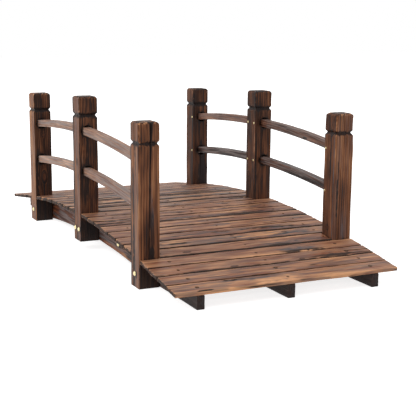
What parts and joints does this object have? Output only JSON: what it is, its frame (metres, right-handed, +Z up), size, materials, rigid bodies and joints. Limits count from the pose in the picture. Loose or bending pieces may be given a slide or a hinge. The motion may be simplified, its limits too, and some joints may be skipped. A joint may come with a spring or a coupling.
{
  "type": "wooden footbridge",
  "caption": "Arched garden footbridge of scorched fir: grooved square posts, curved double rails, cross-plank deck on sawn stringers and straight end ramps.",
  "frame": {"origin": "on the ground under the middle of the bridge, midway between the two railings", "axes": "+X along the bridge to its east end, +Y across it to its north side, +Z up"},
  "size_m": [1.5246, 0.674, 0.4795],
  "materials": {
    "post_timber": "scorched and brushed fir, dark brown with black streaks",
    "rail_timber": "lightly scorched fir, greyish brown",
    "deck_timber": "scorched and brushed fir, mid brown with paler edges",
    "frame_timber": "scorched fir, dark"
  },
  "bodies": {
    "root": {"post_south_west": "post_timber", "post_south_middle": "post_timber", "post_south_east": "post_timber", "post_north_west": "post_timber", "post_north_middle": "post_timber", "post_north_east": "post_timber", "rail_upper_south_west": "rail_timber", "rail_upper_south_east": "rail_timber", "rail_upper_north_west": "rail_timber", "rail_upper_north_east": "rail_timber", "rail_lower_south_west": "rail_timber", "rail_lower_south_east": "rail_timber", "rail_lower_north_west": "rail_timber", "rail_lower_north_east": "rail_timber", "stringer_south_west": "frame_timber", "stringer_south_east": "frame_timber", "stringer_centre_west": "frame_timber", "stringer_centre_east": "frame_timber", "stringer_north_west": "frame_timber", "stringer_north_east": "frame_timber", "splice_south": "frame_timber", "splice_centre": "frame_timber", "splice_north": "frame_timber", "deck_plank_01": "deck_timber", "deck_plank_02": "deck_timber", "deck_plank_03": "deck_timber", "deck_plank_04": "deck_timber", "deck_plank_05": "deck_timber", "deck_plank_06": "deck_timber", "deck_plank_07": "deck_timber", "deck_plank_08": "deck_timber", "deck_plank_09": "deck_timber", "deck_plank_10": "deck_timber", "deck_plank_11": "deck_timber", "deck_plank_12": "deck_timber", "deck_plank_13": "deck_timber", "deck_plank_14": "deck_timber", "deck_plank_15": "deck_timber", "deck_plank_16": "deck_timber", "deck_plank_17": "deck_timber", "ramp_west_planks": "deck_timber", "ramp_east_planks": "deck_timber"}
  },
  "joints": []
}
